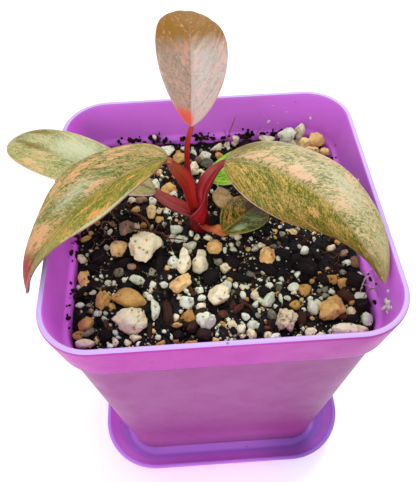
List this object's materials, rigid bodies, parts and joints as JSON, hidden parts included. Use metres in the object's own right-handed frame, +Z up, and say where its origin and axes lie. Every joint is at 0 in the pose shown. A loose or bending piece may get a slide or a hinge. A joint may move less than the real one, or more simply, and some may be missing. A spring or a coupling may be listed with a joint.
{
  "type": "potted orange princess philodendron",
  "caption": "Young aroid house plant with orange-streaked leaves on red stalks, in gritty potting mix in a square tapering plastic nursery pot that stands on its saucer.",
  "frame": {"origin": "centre of the saucer's flat underside, which is the surface that the object stands on", "axes": "+Z up along the pot's middle axis, the pot's sides along X and Y, its front towards -Y"},
  "size_m": [0.0825, 0.07, 0.1081],
  "materials": {
    "saucer_plastic": "satin orchid purple plastic",
    "pot_plastic": "satin orchid pink plastic",
    "potting_mix": "loose dark peat and bark with pale grit",
    "stem": "smooth deep red plant skin",
    "leaf_upright": "waxy leaf, salmon streaks on grey green",
    "leaf_left": "waxy leaf, salmon streaks on olive green",
    "leaf_back_left": "waxy leaf, pale sage green",
    "leaf_right": "waxy leaf, orange blocks on olive green",
    "leaf_low_front": "glossy leaf, dark green and orange",
    "leaf_low_back": "waxy leaf, bright green",
    "cream_stone": "rough cream pumice",
    "tan_stone": "worn tan gravel",
    "speckled_stone": "rough grey stone with dark specks",
    "orange_stone": "rough orange grit",
    "white_stone": "rough white perlite",
    "brown_stone": "rough brown gravel",
    "bark": "rough dark bark"
  },
  "bodies": {
    "root": {"saucer": "saucer_plastic", "pot": "pot_plastic", "soil": "potting_mix", "stem": "stem", "leaf_upright": "leaf_upright", "leaf_left": "leaf_left", "leaf_back_left": "leaf_back_left", "leaf_right": "leaf_right", "leaf_low_front": "leaf_low_front", "leaf_low_back": "leaf_low_back", "pumice_stone": "cream_stone", "oval_tan_stone": "tan_stone", "front_cream_stone": "cream_stone", "paired_stone_left": "cream_stone", "paired_stone_right": "cream_stone", "middle_cream_stone": "cream_stone", "middle_tan_stone": "tan_stone", "speckled_stone": "speckled_stone", "right_tan_stone": "tan_stone", "right_cream_stone": "cream_stone", "orange_stone": "orange_stone", "left_tan_stone": "tan_stone", "bark_chip": "bark", "long_white_stone": "white_stone", "brown_pebble": "brown_stone", "back_cream_stone": "cream_stone", "back_tan_stone": "tan_stone", "rough_tan_stone": "tan_stone", "front_white_stone": "white_stone", "left_corner_stone": "tan_stone", "left_orange_stone": "orange_stone", "back_white_stone": "white_stone", "left_brown_stone": "brown_stone", "right_orange_stone": "orange_stone"}
  },
  "joints": []
}
